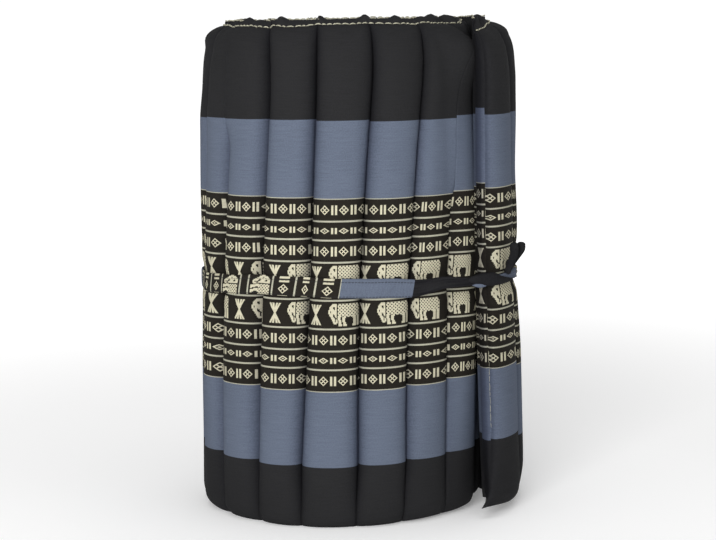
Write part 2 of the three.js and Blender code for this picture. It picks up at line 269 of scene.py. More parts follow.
# The elephants' repeat: a bundle of rays, then one elephant, charted in cells. A hash is solid cream, an o
# is the netted body cloth and a dot is the ground.
REPEAT_LENGTH = 0.058
ELEPHANT_START = 0.0186
ELEPHANT_LIFT = 0.0188
CELL_WIDTH = 0.0009
CELL_HEIGHT = 0.001
ELEPHANT = [
    "....#####.oooooooooooooooooooooo..",
    "...######.ooooooooooooooooooooooo.",
    "..#######.ooooooooooooooooooooooo.",
    ".####..##.oooooooooooooooooooooooo",
    ".####..##.oooooooooooooooooooooooo",
    ".#####.##.oooooooooooooooooooooooo",
    "#########.oooooooooooooooooooooooo",
    "##.######.oooooooooooooooooooooooo",
    "##.######.oooooooooooooooooooooooo",
    "#########.oooooooooooooooooooooooo",
    ".####.###.oooooooooooooooooooooooo",
    ".####..##.oooooooooooooooooooooooo",
    "..###..##.####.oooooooooooo###.###",
    "...###..#.###..####.......o###.###",
    "...####...###..###.........###.###",
    "....###.#.###..###.........###.###",
    "....###.##.###.###.........###.###",
    ".....##.##.###.###.........###.###",
    ".....#####.###..###........###.###",
    "......###..###..###........###.###",
    "...........####.####......####.###",
    "...........####.####......####.###",
]
BODY_NET = 0.0034
BODY_THREAD = 0.0017
RAYS_MIDDLE = 0.0055
RAYS_HALF_HEIGHT = 0.0100
RAYS_SPREADS = [0.0050, 0.0019]
RAY_HALF_WIDTHS = (0.0008, 0.00105)

# The two smaller repeats: a netted diamond and a flat rhombus, each with a pair of bars.
MOTIF_PITCH = 0.019
MOTIF_START = 0.0045
DIAMOND_ROWS = [0.0437, 0.0843]
RHOMBUS_ROW = 0.0639
DIAMOND_NET = 0.0042
DIAMOND_THREAD = 0.0013
BAR_EDGES = (0.0008, 0.0029)
BAR_HALF_HEIGHT = 0.0047
RHOMBUS_HALF = (0.0050, 0.0030)
RHOMBUS_RINGS = (0.62, 0.26)
SHORT_BAR_HALF_HEIGHT = 0.0030

# Colours, as linear red, green and blue.
BLACK = (0.0190, 0.0190, 0.0201)
BLUE = (0.103, 0.123, 0.167)
CREAM = (0.52, 0.49, 0.36)
LINE_CREAM = (0.38, 0.37, 0.29)
GROUND = (0.017, 0.015, 0.012)
THREAD_DARK = (0.24, 0.23, 0.17)
THREAD_LIGHT = (0.52, 0.50, 0.39)
FLOOR_COLOUR = (0.90, 0.90, 0.90)

# Painted shade: tints that darken the cloth's colour in the creases, less where they fill out and at the
# foot, and in the folds of the strap.
CREASE_PAINTED_SHADE = (0.47, 0.47, 0.53)
CREASE_SHADE_SPREAD = 5
FILLED_CREASE_SHADE_LOSS = 0.9
FOOT_CREASE_SHADE_LOSS = 0.5
FOLD_PAINTED_SHADE = (0.45, 0.45, 0.50)
FOLD_SHADE_DEPTH = 0.55

# The yarns: noise that is finer one way than the other, with how much it changes the cloth's shade, and the
# relief of the weave.
Grain = namedtuple("Grain", "scale detail seed strength")
STREAKS = Grain((45, 900, 1), 2.0, 0.0, 0.34)
PATCHES = Grain((14, 9, 1), 1.0, 4.0, 0.22)
SPECKLE = Grain((900, 700, 1), 0.0, 9.0, 0.30)
# Noise that streaks the painted shade of the strap's folds.
FOLDS = Grain((1, 22, 2.6), 1.0, 2.0, 2.4)
THREAD_GRAIN = 900
YARN_PITCHES = (0.0010, 0.0008)
YARN_RELIEF = 0.5
STREAK_RELIEF = 1.2
RELIEF_STRENGTH = 0.5
RELIEF_HEIGHT = 0.00025
FABRIC_ROUGHNESS = 0.92
FABRIC_SPECULAR = 0.06

# The strap: a folded band drawn tight round the roll, its knot and its loop. It was cut across the cloth,
# so that its length runs through the colours from the upper edge to the lower one, from both of its ends.
# Its line goes over the crests of the last turn and of STRAP_SEARCH degrees before it.
STRAP_HEIGHT = 0.240
STRAP_WIDTH = 0.0195
STRAP_THICKNESS = 0.0024
STRAP_CLEARANCE = 0.0004
STRAP_STEP = 0.003
KNOT_ANGLE = 54
KNOT_HALF = 0.014
GATHER_LENGTHS = (0.085, 0.190)
GATHERED_WIDTH = 0.0068
GATHERED_THICKNESS = 0.0046
GATHER_FOLDS = 0.0011
PATTERN_REACHED = 0.1430
BLUE_SCALE = 1.034
PATTERN_SCALE = 0.905
STRAP_FINISH = 0.390
STRAP_PLACE = 0.1346
STRAP_SLANT = -0.0017
TOPSTITCHES = (0.62, -0.87)
TOPSTITCH_HALF_WIDTH = 0.055
TOPSTITCH_STEP = 0.0034
TOPSTITCH_LENGTH = 0.0027
TOPSTITCH_SHADE = 0.55
BAND_SIDES = 20
BAND_POWERS = (0.7, 0.5)
GATHER_BLEND = 0.35
GATHER_RIDGES = 7
GATHER_TWIST = 30
RIPPLE = 0.0003
RIPPLE_LENGTH = 0.012
STRAP_SEARCH = 44

# The strap's height above the floor at distances along it, leftwards from the knot.
Rise = namedtuple("Rise", "distance height")
STRAP_RISES = [
    Rise(0.000, 0.2424), Rise(0.028, 0.2416), Rise(0.046, 0.2423), Rise(0.080, 0.2382), Rise(0.120, 0.2399),
    Rise(0.160, 0.2412), Rise(0.202, 0.2429), Rise(0.241, 0.2434), Rise(0.285, 0.2405), Rise(0.333, 0.2379),
    Rise(0.400, 0.2365), Rise(0.520, 0.2345), Rise(0.700, 0.2350), Rise(0.907, 0.2394), Rise(0.947, 0.2416),
    Rise(0.965, 0.2427), Rise(0.983, 0.2436), Rise(1.008, 0.2424),
]

# The folds of the knot and of its loop, as sections: the distance leftwards from the knot, how far off the
# roll and above the strap's middle, and the half sizes of the fold across and through it.
Section = namedtuple("Section", "distance out up half_across half_through")
LEAF = [
    Section(0.0260, 0.0030, 0.0012, 0.0006, 0.0008),
    Section(0.0245, 0.0034, 0.0012, 0.0022, 0.0020),
    Section(0.0200, 0.0040, 0.0016, 0.0043, 0.0030),
    Section(0.0130, 0.0050, 0.0018, 0.0057, 0.0042),
    Section(0.0050, 0.0056, 0.0008, 0.0064, 0.0048),
    Section(-0.0010, 0.0056, 0.0005, 0.0063, 0.0048),
    Section(-0.0080, 0.0050, -0.0015, 0.0044, 0.0042),
    Section(-0.0160, 0.0045, -0.0030, 0.0028, 0.0034),
    Section(-0.0260, 0.0040, -0.0036, 0.0018, 0.0024),
    Section(-0.0400, 0.0030, -0.0027, 0.0005, 0.0008),
]
UNDERFOLD = [
    Section(0.0235, 0.0030, -0.0028, 0.0004, 0.0006),
    Section(0.0190, 0.0040, -0.0036, 0.0018, 0.0018),
    Section(0.0140, 0.0048, -0.0041, 0.0027, 0.0022),
    Section(0.0085, 0.0048, -0.0038, 0.0021, 0.0020),
    Section(0.0035, 0.0044, -0.0030, 0.0005, 0.0008),
]
FIRST_LOBE = [
    Section(-0.0210, 0.0030, 0.0020, 0.0022, 0.0020),
    Section(-0.0205, 0.0040, 0.0045, 0.0034, 0.0026),
    Section(-0.0192, 0.0064, 0.0090, 0.0035, 0.0027),
    Section(-0.0170, 0.0102, 0.0160, 0.0036, 0.0027),
    Section(-0.0157, 0.0140, 0.0240, 0.0043, 0.0029),
    Section(-0.0153, 0.0148, 0.0290, 0.0050, 0.0032),
    Section(-0.0148, 0.0156, 0.0325, 0.0047, 0.0028),
    Section(-0.0146, 0.0159, 0.0350, 0.0031, 0.0018),
    Section(-0.0145, 0.0160, 0.0360, 0.0006, 0.0004),
]
SECOND_LOBE = [
    Section(-0.0215, 0.0026, 0.0025, 0.0020, 0.0018),
    Section(-0.0220, 0.0034, 0.0048, 0.0030, 0.0024),
    Section(-0.0222, 0.0050, 0.0080, 0.0033, 0.0026),
    Section(-0.0220, 0.0102, 0.0160, 0.0037, 0.0027),
    Section(-0.0220, 0.0152, 0.0245, 0.0046, 0.0029),
    Section(-0.0220, 0.0178, 0.0290, 0.0051, 0.0029),
    Section(-0.0220, 0.0189, 0.0325, 0.0046, 0.0024),
    Section(-0.0220, 0.0193, 0.0345, 0.0030, 0.0014),
    Section(-0.0220, 0.0194, 0.0352, 0.0006, 0.0004),
]
FOLD_SIDES = 18
FOLD_STEPS = 5
FOLD_CREASES = 0.09
FOLD_CREASE_COUNT = 3
FOLD_CREASE_TWIST = 0.35
FOLD_WRINKLES = 0.10
FOLD_WRINKLE_SCALE = 160
FOLD_WRINKLE_STEP = 0.6
FOLD_CLOTH_STEP = 0.001
KNOT_BLACK = 0.43
KNOT_BLUE = 0.34

# Stitches of thread: round the rims, and finer ones down the free end's corner between two heights.
STITCH_LENGTHS = (0.0035, 0.0090)
STITCH_GAPS = (0.0002, 0.0014)
STITCH_RADIUS = 0.00072
STITCH_STRAY = 0.0006
STITCH_STEPS = 4
STITCH_ARCH = 1.1
STITCH_SINK = 0.5
STITCH_LIFT = 0.0006
THREAD_SIDES = 6
THREAD_TIP = 0.45
CORNER_HEIGHTS = (0.078, 0.165)
CORNER_LEVELS = 40
CORNER_RADIUS = 0.00036
CORNER_LIFT = 0.0003

# The camera stands where the photograph was taken from.
CAMERA_DISTANCE = 2.2
CAMERA_ASIDE = 0.0078
CAMERA_HEIGHT = 0.5107
CAMERA_PITCH = 6.976
CAMERA_ROLL = 1.027
FOCAL_PIXELS = 2108
PICTURE_WIDTH = 716
SENSOR_WIDTH = 36

# The studio: two soft lamps aimed at the roll's middle, a bright wall behind it that fades to a dimmer front
# and a dimmer left side, and a floor that glows more and more away from the roll.
Lamp = namedtuple("Lamp", "name place size power")
LAMPS = [
    Lamp("key", (-0.75, -3.0, 1.05), 1.3, 80),
    Lamp("top", (0.2, -0.5, 3.2), 2.4, 26),
]
LAMP_AIM_HEIGHT = 0.25
Ramp = namedtuple("Ramp", "start end low high")
WALL_BEHIND = Ramp(0.3, 0.9, 0.3, 1.05)
LEFT_SIDE = Ramp(-0.9, -0.3, 0.3, 1.0)
FLOOR_GLOW = Ramp(0.3, 2.2, 0.21, 0.75)
FLOOR_REACH = 14.0
FLOOR_ROUGHNESS = 0.95
FLOOR_SPECULAR = 0.1

TURN = 2 * math.pi
SPIRAL_STEP = WINDING_PITCH / TURN
PHI_END = (FREE_END_RADIUS - CORE_END_RADIUS) / SPIRAL_STEP


def lerp(a, b, share):
    return a + (b - a) * share


def clamp(x, low=0.0, high=1.0):
    return max(low, min(high, x))


def smooth(x, low, high):
    t = clamp((x - low) / (high - low))
    return t * t * (3 - 2 * t)


def bump(x, reach):
    """1 at 0, falling smoothly to 0 at the reach on both sides."""
    return 1 - smooth(abs(x), 0, reach)


def uneven(*place):
    """Noise between -1 and 1 at a place."""
    return noise.noise(Vector(place))


def along_table(table, x):
    """The second column of a table at a place in its first, smoothly from row to row. None off its ends."""
    for a, b in zip(table, table[1:]):
        if a[0] <= x <= b[0]:
            return lerp(a[1], b[1], smooth(x, a[0], b[0]))
    return None


def near_end(phi, stretch):
    """0 on the rest of the pad, rising to 1 at the free end over its last stretch."""
    return smooth(phi, PHI_END - math.radians(stretch), PHI_END)


def middle_radius(phi):
    return CORE_END_RADIUS + SPIRAL_STEP * phi + FREE_END_LIFT * near_end(phi, LIFT_STRETCH)


def bareness(phi):
    """1 where nothing lies over the winding, 0 where the next one covers it."""
    covered = PHI_END - TURN
    return smooth(phi, covered - math.radians(BARED_BEFORE), covered + math.radians(BARED_AFTER))


def bulge(share, power):
    """The rise of a channel, from 0 at one seam (share 0) through 1 to 0 at the next (share 1)."""
    return max(0.0, 1 - abs(2 * share - 1) ** power) ** SIDE_POWER


def foot_fullness(z, loss):
    return 1 - loss * (1 - min(z / FOOT_HEIGHT, 1)) ** FOOT_POWER


def up_shoulder(z):
    """0 below the shoulder, rising evenly to 1 at the rims."""
    return clamp((z - SHOULDER_HEIGHT) / (RIM_HEIGHT - SHOULDER_HEIGHT))


def free_fullness(z):
    """How full a bare channel is at a height: drawn in at the foot, the strap and the shoulder."""
    under_strap = 1 - smooth(abs(z - STRAP_HEIGHT), STRAP_LOSS_WITHIN * STRAP_WIDTH, STRAP_WIDTH)
    shoulder = (1 - up_shoulder(z) ** FREE_SHOULDER_POWER) ** (1 / FREE_SHOULDER_POWER)
    return foot_fullness(z, FREE_FOOT_LOSS) * (1 - STRAP_LOSS * under_strap) * shoulder


def pressed_fullness(z):
    """How full a covered channel is at a height."""
    shoulder = (1 - up_shoulder(z) ** PRESSED_SHOULDER_POWER) ** SIDE_POWER
    return foot_fullness(z, PRESSED_FOOT_LOSS) * lerp(PRESSED_SHOULDER_LEFT, 1, shoulder)


# A seam with its place along the pad, phi, which is the angle in radians that the spiral has turned through.
SeamRow = namedtuple("SeamRow", ("phi", *Seam._fields[1:]), defaults=(0, 0, CREASE, 0, 0, 1))


class Station:
    """One upright line across the pad, share of the way from one seam of its channel to the next."""

    def __init__(self, channel, a, b, share):
        self.channel = channel
        self.share = share
        places = [lerp(before, after, share) for before, after in zip(a, b)]
        self.phi, self.lean, self.bow, self.back, self.foot, self.crease = places[:6]
        self.seams = (a, b)
        self.bare = bareness(self.phi)

    def behind(self, z):
        """How far behind the free end it stands at a height, in degrees round the pad."""
        return math.degrees(PHI_END - self.phi + leaning(self, z))

    def filled(self, z):
        """How far the creases of the seams beside it fill out at a height."""
        shares = [seam.filled * smooth(z, seam.fill_from, seam.fill_to) for seam in self.seams]
        return lerp(*shares, self.share)

    def outer(self, z):
        """How far the outer face stands off the middle of the winding at a height."""
        rise = bulge(self.share, lerp(PRESSED_POWER, FREE_POWER, self.bare))
        foot = FOOT_FILL * self.bare * bump(z, FOOT_FILL_HEIGHT)
        rise = lerp(rise, 1, max(foot, self.filled(z)))
        full = lerp(self.crease, lerp(PRESSED_CREST, FREE_CREST, self.bare), rise)
        rim = lerp(PRESSED_RIM, FREE_RIM, self.bare) - RIM_SCALLOP * (1 - rise)
        flat = lerp(rim, full, lerp(pressed_fullness(z), free_fullness(z), self.bare))
        flat += self.bare * self.pucker(z)
        behind = self.behind(z)
        for row in BULGES:
            beyond = behind - row.behind
            swell = bump(beyond, row.reach if beyond < 0 else row.past) * bump(z - row.height, row.spread)
            flat += row.out * swell * min(free_fullness(z) * BULGE_FADE, 1)
        return flat

    def inner(self, z):
        """How far the inner face stands off the middle of the winding at a height, below 0."""
        in_core = 1 - smooth(self.phi, CORE_ROUND_TURNS * TURN, CORE_FLAT_TURNS * TURN)
        rise = bulge(self.share, lerp(PRESSED_POWER, FREE_POWER, in_core))
        room = middle_radius(self.phi) - CORE_GAP
        crest = min(lerp(PRESSED_CREST, CORE_CREST, in_core), room)
        full = lerp(min(self.crease, room), crest, rise)
        rim = min(INNER_RIM, crest) - RIM_SCALLOP * (1 - rise)
        squeezed = END_SQUEEZE * near_end(self.phi, PULL_STRETCH)
        return squeezed - lerp(min(rim, full + INNER_RIM_STEP), full, pressed_fullness(z))

    def pucker(self, z):
        """Small gathers beside the seams, and the uneven filling of a channel along its length."""
        beside = abs(2 * self.share - 1)
        seam = self.channel + round(self.share)
        gathers = uneven(z / PUCKER_LENGTH, seam * 7.3, 2.1 * self.share)
        filling = uneven(z / FILLING_LENGTH, self.channel * 3.1, 0.5)
        return PUCKER_DEPTH * gathers * beside ** 4 + FILLING_DEPTH * filling * (1 - beside ** 2)


def phi_at(angle, turns_in):
    return PHI_END - math.radians(angle - FREE_END_ANGLE) - turns_in * TURN


def equal_seams(first, last, channels):
    """Seams that part the stretch between two seams into channels of equal length."""
    square_a = (CORE_END_RADIUS + SPIRAL_STEP * first.phi) ** 2
    square_b = (CORE_END_RADIUS + SPIRAL_STEP * last.phi) ** 2
    rows = []
    for i in range(1, channels):
        share = i / channels
        phi = (math.sqrt(lerp(square_a, square_b, share)) - CORE_END_RADIUS) / SPIRAL_STEP
        rows.append(SeamRow(phi, lerp(first.lean, last.lean, share), lerp(first.bow, last.bow, share)))
    return rows


def pad_seams():
    """All the seams of the pad and its two ends, from the core outwards."""
    start = SeamRow(0, CORE_END_LEAN, 0, crease=END_CREASE)
    front = [SeamRow(phi_at(seam.angle, 1), *seam[1:]) for seam in reversed(FRONT_SEAMS)]
    last = SeamRow(phi_at(LAST_SEAM.angle, 0), *LAST_SEAM[1:])
    end = SeamRow(PHI_END, FREE_END_LEAN, FREE_END_BOW, crease=END_CREASE)
    covered = equal_seams(start, front[0], COVERED_CHANNELS)
    outside = equal_seams(front[-1], last, OUTER_CHANNELS)
    return [start, *covered, *front, *outside, last, end]


def pad_stations():
    """The upright lines that the pad's mesh is made from, from the core to the free end."""
    seams = pad_seams()
    stations = []
    for channel in range(len(seams) - 1):
        a, b = seams[channel], seams[channel + 1]
        steps = BARE_STEPS if bareness(b.phi) > 0 else COVERED_STEPS
        steps = max(steps, math.ceil((b.phi - a.phi) / math.radians(LARGEST_STEP)))
        for i in range(steps):
            stations.append(Station(channel, a, b, 0.5 - 0.5 * math.cos(math.pi * i / steps)))
    stations.append(Station(len(seams) - 2, seams[-2], seams[-1], 1.0))
    return stations


def level_heights():
    """Heights of the mesh from the foot to the rim, closer together where the profile turns."""
    shoulder = RIM_HEIGHT - SHOULDER_HEIGHT
    foot = [FOOT_HEIGHT * (i / FOOT_LEVELS) ** FOOT_LEVEL_POWER for i in range(FOOT_LEVELS)]
    body = [lerp(FOOT_HEIGHT, SHOULDER_HEIGHT, i / BODY_LEVELS) for i in range(BODY_LEVELS)]
    below_rim = [(1 - i / SHOULDER_LEVELS) ** SHOULDER_LEVEL_POWER for i in range(SHOULDER_LEVELS + 1)]
    return foot + body + [RIM_HEIGHT - shoulder * share for share in below_rim]


def coarse_levels(count):
    """The numbers of the levels that covered stretches keep."""
    return [k for k in range(count) if k % COARSE_STEP == 0 or k in COARSE_FOOT or k > count - COARSE_TOP]


def leaning(station, z):
    """How far to the right of its place at MIDDLE_HEIGHT a station stands at a height, in radians."""
    rise = (z - MIDDLE_HEIGHT) / LEAN_HEIGHT
    back = station.back * clamp((z - BACK_FROM_HEIGHT) / (RIM_HEIGHT - BACK_FROM_HEIGHT)) ** BACK_POWER
    foot = station.foot * bump(z, FOOT_FILL_HEIGHT)
    return math.radians(station.lean * rise + station.bow * rise ** 2 - back + foot)


def pad_point(station, z, offset, at_rim=0.0, raised=0.0, wound=0.0):
    """A point of the pad from its height and its offset from the middle of the winding."""
    turned = station.phi + wound - leaning(station, z)
    flare = 1 + FLARE * (MIDDLE_HEIGHT - z) / MIDDLE_HEIGHT
    ending = near_end(station.phi, SLANT_STRETCH)
    shorter = ending * FREE_END_SHORTENING * (1 - z / FREE_END_LEVEL)
    dip = at_rim * rim_drop(station)
    radius = (middle_radius(turned) + offset) * flare
    pull = END_PULL * near_end(station.phi, PULL_STRETCH)
    angle = math.radians(FREE_END_ANGLE + pull - ending * FREE_END_SLANT * offset) + PHI_END - turned
    return Vector((
        AXIS_X + radius * math.sin(angle),
        AXIS_Y - radius * math.cos(angle),
        z + shorter - dip + raised,
    ))


def dome(w):
    """The rise of a wall between its two rims."""
    return (1 - abs(2 * w - 1) ** DOME_POWERS[0]) ** DOME_POWERS[1]


def rim_drop(station):
    """How far the outer rim lies below RIM_HEIGHT."""
    wobble = RIM_WOBBLE * uneven(station.phi * RIM_WOBBLE_RATE, 5.1, 1.7)
    dropped = along_table(RIM_DROPS, station.channel + station.share)
    if dropped is None:
        return wobble + RIM_SCALLOP * (1 - bulge(station.share, FREE_POWER))
    return wobble + dropped


def top_rise(station, w, end):
    """How far the upper wall stands above its outer rim, from its inner rim (w 0) to the outer one (w 1)."""
    place = station.channel + station.share
    wobble = uneven(station.phi * INNER_WOBBLE_RATE, 0.7, 8.2)
    inner = station.bare * (INNER_RISE + rim_drop(station) + INNER_WOBBLE * wobble)
    gathers = sum(row.up * bump(place - row.place, row.reach) for row in WALL_GATHERS)
    lump = uneven(station.phi * RISE_WOBBLE_RATES[0], w * RISE_WOBBLE_RATES[1], 3.3)
    crown = lerp(COVERED_RISE, BARE_RISE, station.bare) + gathers + RISE_WOBBLE * lump
    return (1 - w) * inner + dome(w) * crown * end


def foot_raise(station, w, z):
    """How far the foot is pulled up, most on both sides of the notch before the free end's wall."""
    raised = sum(row.up * bump(station.behind(z) - row.behind, row.reach) for row in FOOT_RAISES)
    raised += END_RAISE * (1 - END_RAISE_SLOPE * w) * near_end(station.phi, PULL_STRETCH)
    return raised * bump(z, RAISE_HEIGHT)


class ClothMap:
    """Where each channel's cloth lies in the woven length: along the pad and up its width."""

    def __init__(self, channels):
        self.lies = {lie.channel: lie for lie in CHANNEL_LIES}
        middle = 0.0
        for channel in reversed(range(channels)):
            if channel in self.lies:
                middle = self.lies[channel].middle
            else:
                middle += CHANNEL_CLOTH + SEAM_CLOTH
                half = NEAR_SEAM * CHANNEL_CLOTH
                slips = (EVEN_SLIP * math.sin(2.3 * channel), EVEN_SLIP * math.cos(1.7 * channel))
                self.lies[channel] = Lie(channel, 0, middle - half, middle, middle + half, *slips, SKEW)

    def at(self, channel, station, z):
        """A channel's cloth at one of its stations and a height, and how much painted crease shade it takes
        there.
        """
        lie = self.lies[channel]
        share = station.share if station.channel == channel else 1.0
        aside = (0.5 - share) / NEAR_SEAM
        across = lie.middle + aside * (lie.right - lie.left) / 2
        across += aside ** 2 * ((lie.right + lie.left) / 2 - lie.middle)
        across += lie.skew * (middle_radius(station.phi) + FREE_CREST) * leaning(station, z)
        low = PATTERN_MIDDLE - BLUE_HALF
        high = PATTERN_MIDDLE + BLUE_HALF
        slipped = lerp(lie.lower, lie.upper, clamp((z - low) / (high - low)))
        # The painted shade of the creases: strongest beside the seams of bare channels, less where they fill
        # out, at the foot and where they are shallow.
        depth = station.bare * abs(2 * share - 1) ** CREASE_SHADE_SPREAD
        depth *= 1 - FILLED_CREASE_SHADE_LOSS * station.filled(z)
        depth *= 1 - FOOT_CREASE_SHADE_LOSS * bump(z, FOOT_FILL_HEIGHT)
        depth *= 1 - smooth(station.crease, CREASE, FREE_CREST)
        return (lie.repeats * REPEAT_LENGTH + across, z - slipped, depth)


def turn_outwards(piece):
    """Turns the faces of a closed piece outwards."""
    bpy.context.view_layer.objects.active = piece
    piece.select_set(True)
    bpy.ops.object.mode_set(mode="EDIT")
    bpy.ops.mesh.select_all(action="SELECT")
    bpy.ops.mesh.normals_make_consistent(inside=False)
    bpy.ops.object.mode_set(mode="OBJECT")
    piece.select_set(False)


class Skin:
    """A mesh in the making, with its cloth coordinates kept at the corners of its faces."""

    def __init__(self):
        self.points = []
        self.faces = []
        self.cloth = []
        self.index = {}

    def vertex(self, key, point):
        """The number of a key's vertex, made from what point() gives when the key is new."""
        if key not in self.index:
            self.index[key] = len(self.points)
            self.points.append(point())
        return self.index[key]

    def face(self, corners, cloth):
        self.faces.append(corners)
        self.cloth.append(cloth)

    def finish(self, name, material):
        """The piece that the mesh makes, in a material."""
        mesh = bpy.data.meshes.new(name)
        mesh.from_pydata([tuple(point) for point in self.points], [], self.faces)
        attribute = mesh.attributes.new("cloth", "FLOAT_VECTOR", "CORNER")
        flat = [value for corners in self.cloth for corner in corners for value in corner]
        attribute.data.foreach_set("vector", flat)
        mesh.polygons.foreach_set("use_smooth", [True] * len(self.faces))
        mesh.update()
        mesh.materials.append(material)
        piece = bpy.data.objects.new(name, mesh)
        bpy.context.scene.collection.objects.link(piece)
        turn_outwards(piece)
        return piece


def mattress_skin(stations):
    """The whole cover: both faces of the wound pad, its upper and lower walls and the walls of its ends."""
    skin = Skin()
    heights = level_heights()
    fine = list(range(len(heights)))
    coarse = coarse_levels(len(heights))
    cloth_map = ClothMap(stations[-1].channel + 1)
    top = len(heights) - 1
    last = len(stations) - 1
    bare = [station.bare > 0 for station in stations]

    @cache
    def offsets(i, k):
        return stations[i].inner(heights[k]), stations[i].outer(heights[k])

    def place(i, j, k):
        station, z = stations[i], heights[k]
        inner, outer = offsets(i, k)
        w = j / WALL_STEPS
        at_rim = smooth(z, RIM_HEIGHT - RIM_BLEND, RIM_HEIGHT)
        raised = foot_raise(station, w, z)
        wound = math.radians(CORNER_FLARE) * near_end(station.phi, CORNER_FLARE_STRETCH)
        wound *= w ** 2 * bump(z, CORNER_FLARE_HEIGHT)
        if k == top:
            raised = top_rise(station, w, CORNER_DOME if i in (0, last) else 1.0)
        if i == last:
            wound += FREE_WALL_DOME / FREE_END_RADIUS * dome(w) * (CORNER_DOME if k in (0, top) else 1.0)
            wound += EAR / FREE_END_RADIUS * w ** EAR_POWER * bump(z, EAR_HEIGHT)
        if i == 0:
            wound = -CORE_WALL_DOME / CORE_END_RADIUS * dome(w)
        return pad_point(station, z, lerp(inner, outer, w), at_rim, raised, wound)

    def vertex(i, j, k):
        return skin.vertex((i, j, k), lambda: place(i, j, k))

    def column(i, j, left, right):
        """Faces between two neighbouring stations on one face of the pad."""
        channel = stations[i].channel
        rungs = [k for k in left if k in set(right)]
        for low, high in zip(rungs, rungs[1:]):
            up = [(i, k) for k in left if low <= k <= high]
            down = [(i + 1, k) for k in reversed(right) if low <= k <= high]
            loop = up + down
            skin.face(
                [vertex(s, j, k) for s, k in loop],
                [cloth_map.at(channel, stations[s], skin_height(s, k)) for s, k in loop],
            )

    def skin_height(i, k):
        return pad_point(stations[i], heights[k], 0).z

    for i in range(last):
        left = fine if bare[i] else coarse
        right = fine if bare[i + 1] else coarse
        column(i, WALL_STEPS, left, right)
        column(i, 0, coarse, fine if i + 1 == last else coarse)

    def wall(across, up, corner, cloth):
        """A grid of faces between two runs of places, which corner turns into a station, step and level."""
        for a, b in zip(across, across[1:]):
            for c, d in zip(up, up[1:]):
                loop = [(a, c), (b, c), (b, d), (a, d)]
                skin.face([vertex(*corner(*at)) for at in loop], [cloth(*at) for at in loop])

    def black(*at):
        """The plain black cloth of the walls, from above the bands."""
        return (0.0, RIM_HEIGHT, 0.0)

    def free_end_cloth(k, j):
        w = j / WALL_STEPS
        # Painted shade on the wall, full at its inner side and less towards its outer corner.
        shade = FREE_WALL_SHADE[0] - FREE_WALL_SHADE[1] * w ** FREE_WALL_SHADE_POWER
        return (FREE_WALL_PLACE + (w - 0.5) * 2 * END_CREASE, heights[k] - FREE_WALL_SLIP, shade)

    steps = range(WALL_STEPS + 1)
    wall(range(last + 1), steps, lambda i, j: (i, j, 0), black)
    wall(range(last + 1), steps, lambda i, j: (i, j, top), black)
    wall(fine, steps, lambda k, j: (last, j, k), free_end_cloth)
    wall(coarse, steps, lambda k, j: (0, j, k), black)
    return skin


def plug(tree, value, slot):
    """Fills an input of a node with a number or a list of them, or links it to a socket or a Value."""
    if isinstance(value, Value):
        value = value.socket
    if isinstance(value, bpy.types.NodeSocket):
        tree.links.new(value, slot)
    else:
        slot.default_value = value


def new_node(tree, kind, inputs):
    """A new node, with the inputs that are named filled."""
    node = tree.nodes.new(kind)
    for name, value in inputs.items():
        plug(tree, value, node.inputs[name])
    return node


def adding(operation):
    """A method that adds a node which works out an operation on a Value and what the method is given."""
    return lambda self, *others: self.op(operation, self, *others)


class Value:
    """One number in a material's nodes. Arithmetic on it adds the nodes that it needs."""

    __add__ = __radd__ = adding("ADD")
    __sub__ = adding("SUBTRACT")
    __mul__ = adding("MULTIPLY")
    __truediv__ = adding("DIVIDE")
    __mod__ = adding("FLOORED_MODULO")
    __gt__ = adding("GREATER_THAN")
    __lt__ = adding("LESS_THAN")
    __or__ = adding("MAXIMUM")
    __abs__ = adding("ABSOLUTE")
    floor = adding("FLOOR")
    sign = adding("SIGN")
    sine = adding("SINE")

    def __init__(self, tree, socket):
        self.tree = tree
        self.socket = socket

    def __rsub__(self, other):
        return self.op("SUBTRACT", other, self)

    def op(self, operation, *values):
        node = self.tree.nodes.new("ShaderNodeMath")
        node.operation = operation
        for slot, value in zip(node.inputs, values):
            plug(self.tree, value, slot)
        return Value(self.tree, node.outputs[0])


def matt_material(name):
    """A new matt material. Returns it with its node tree and its shader."""
    material = bpy.data.materials.new(name)
    material.use_nodes = True
    tree = material.node_tree
    shader = tree.nodes["Principled BSDF"]
    shader.inputs["Roughness"].default_value = FABRIC_ROUGHNESS
    shader.inputs["Specular IOR Level"].default_value = FABRIC_SPECULAR
    return material, tree, shader


def cloth_coordinates(tree):
    """The attribute that places a piece's cloth, and the three numbers in it."""
    attribute = tree.nodes.new("ShaderNodeAttribute")
    attribute.attribute_name = "cloth"
    parts = new_node(tree, "ShaderNodeSeparateXYZ", {"Vector": attribute.outputs["Vector"]})
    return attribute, [Value(tree, socket) for socket in parts.outputs]


def mix(tree, factor, a, b, blend="MIX"):
    """A colour between a and b, each a colour socket or a linear colour."""
    node = tree.nodes.new("ShaderNodeMix")
    node.data_type = "RGBA"
    node.blend_type = blend
    plug(tree, factor, node.inputs["Factor"])
    for slot, value in ((node.inputs[6], a), (node.inputs[7], b)):
        plug(tree, (*value, 1) if isinstance(value, tuple) else value, slot)
    return node.outputs[2]


def yarn_noise(tree, coordinates, grain):
    """Noise over the cloth, from 0 to 1."""
    stretch = new_node(tree, "ShaderNodeMapping", {
        "Scale": grain.scale,
        "Location": [grain.seed] * 3,
        "Vector": coordinates.outputs["Vector"],
    })
    texture = new_node(tree, "ShaderNodeTexNoise", {
        "Scale": 1.0,
        "Detail": grain.detail,
        "Vector": stretch.outputs[0],
    })
    return Value(tree, texture.outputs["Fac"])


def any_of(masks):
    """1 where one of the masks is 1."""
    return reduce(lambda a, b: a | b, masks)


def net(x, y, pitch, thickness):
    """1 on a net of slanting threads, 0 in its holes."""
    along = (x + y) % pitch
    across = (x - y) % pitch
    return (along < thickness) | (across < thickness)


